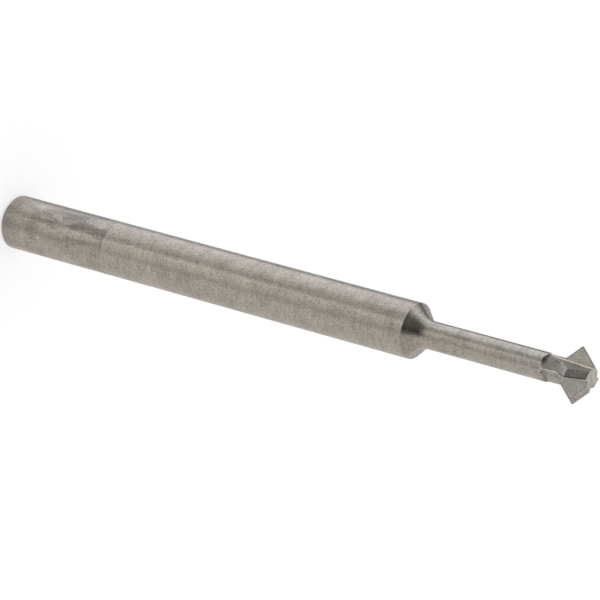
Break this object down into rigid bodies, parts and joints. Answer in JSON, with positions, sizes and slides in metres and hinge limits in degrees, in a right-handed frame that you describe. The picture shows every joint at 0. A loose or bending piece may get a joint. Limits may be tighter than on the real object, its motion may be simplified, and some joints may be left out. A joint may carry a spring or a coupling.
{
  "type": "double-angle cutter",
  "caption": "One-piece cutter with a round shank, a slim neck and a small head of straight teeth, each with a V-shaped pointed edge.",
  "frame": {"origin": "centre of the shank's flat end face", "axes": "+Z along the tool's axis from the shank end to the cutting head; the edge of the first tooth lies in the half-plane y = 0, x > 0"},
  "size_m": [0.006, 0.006, 0.075],
  "materials": {
    "carbide": "fine ground satin grey carbide"
  },
  "bodies": {
    "root": {"double_angle_cutter": "carbide"}
  },
  "joints": []
}
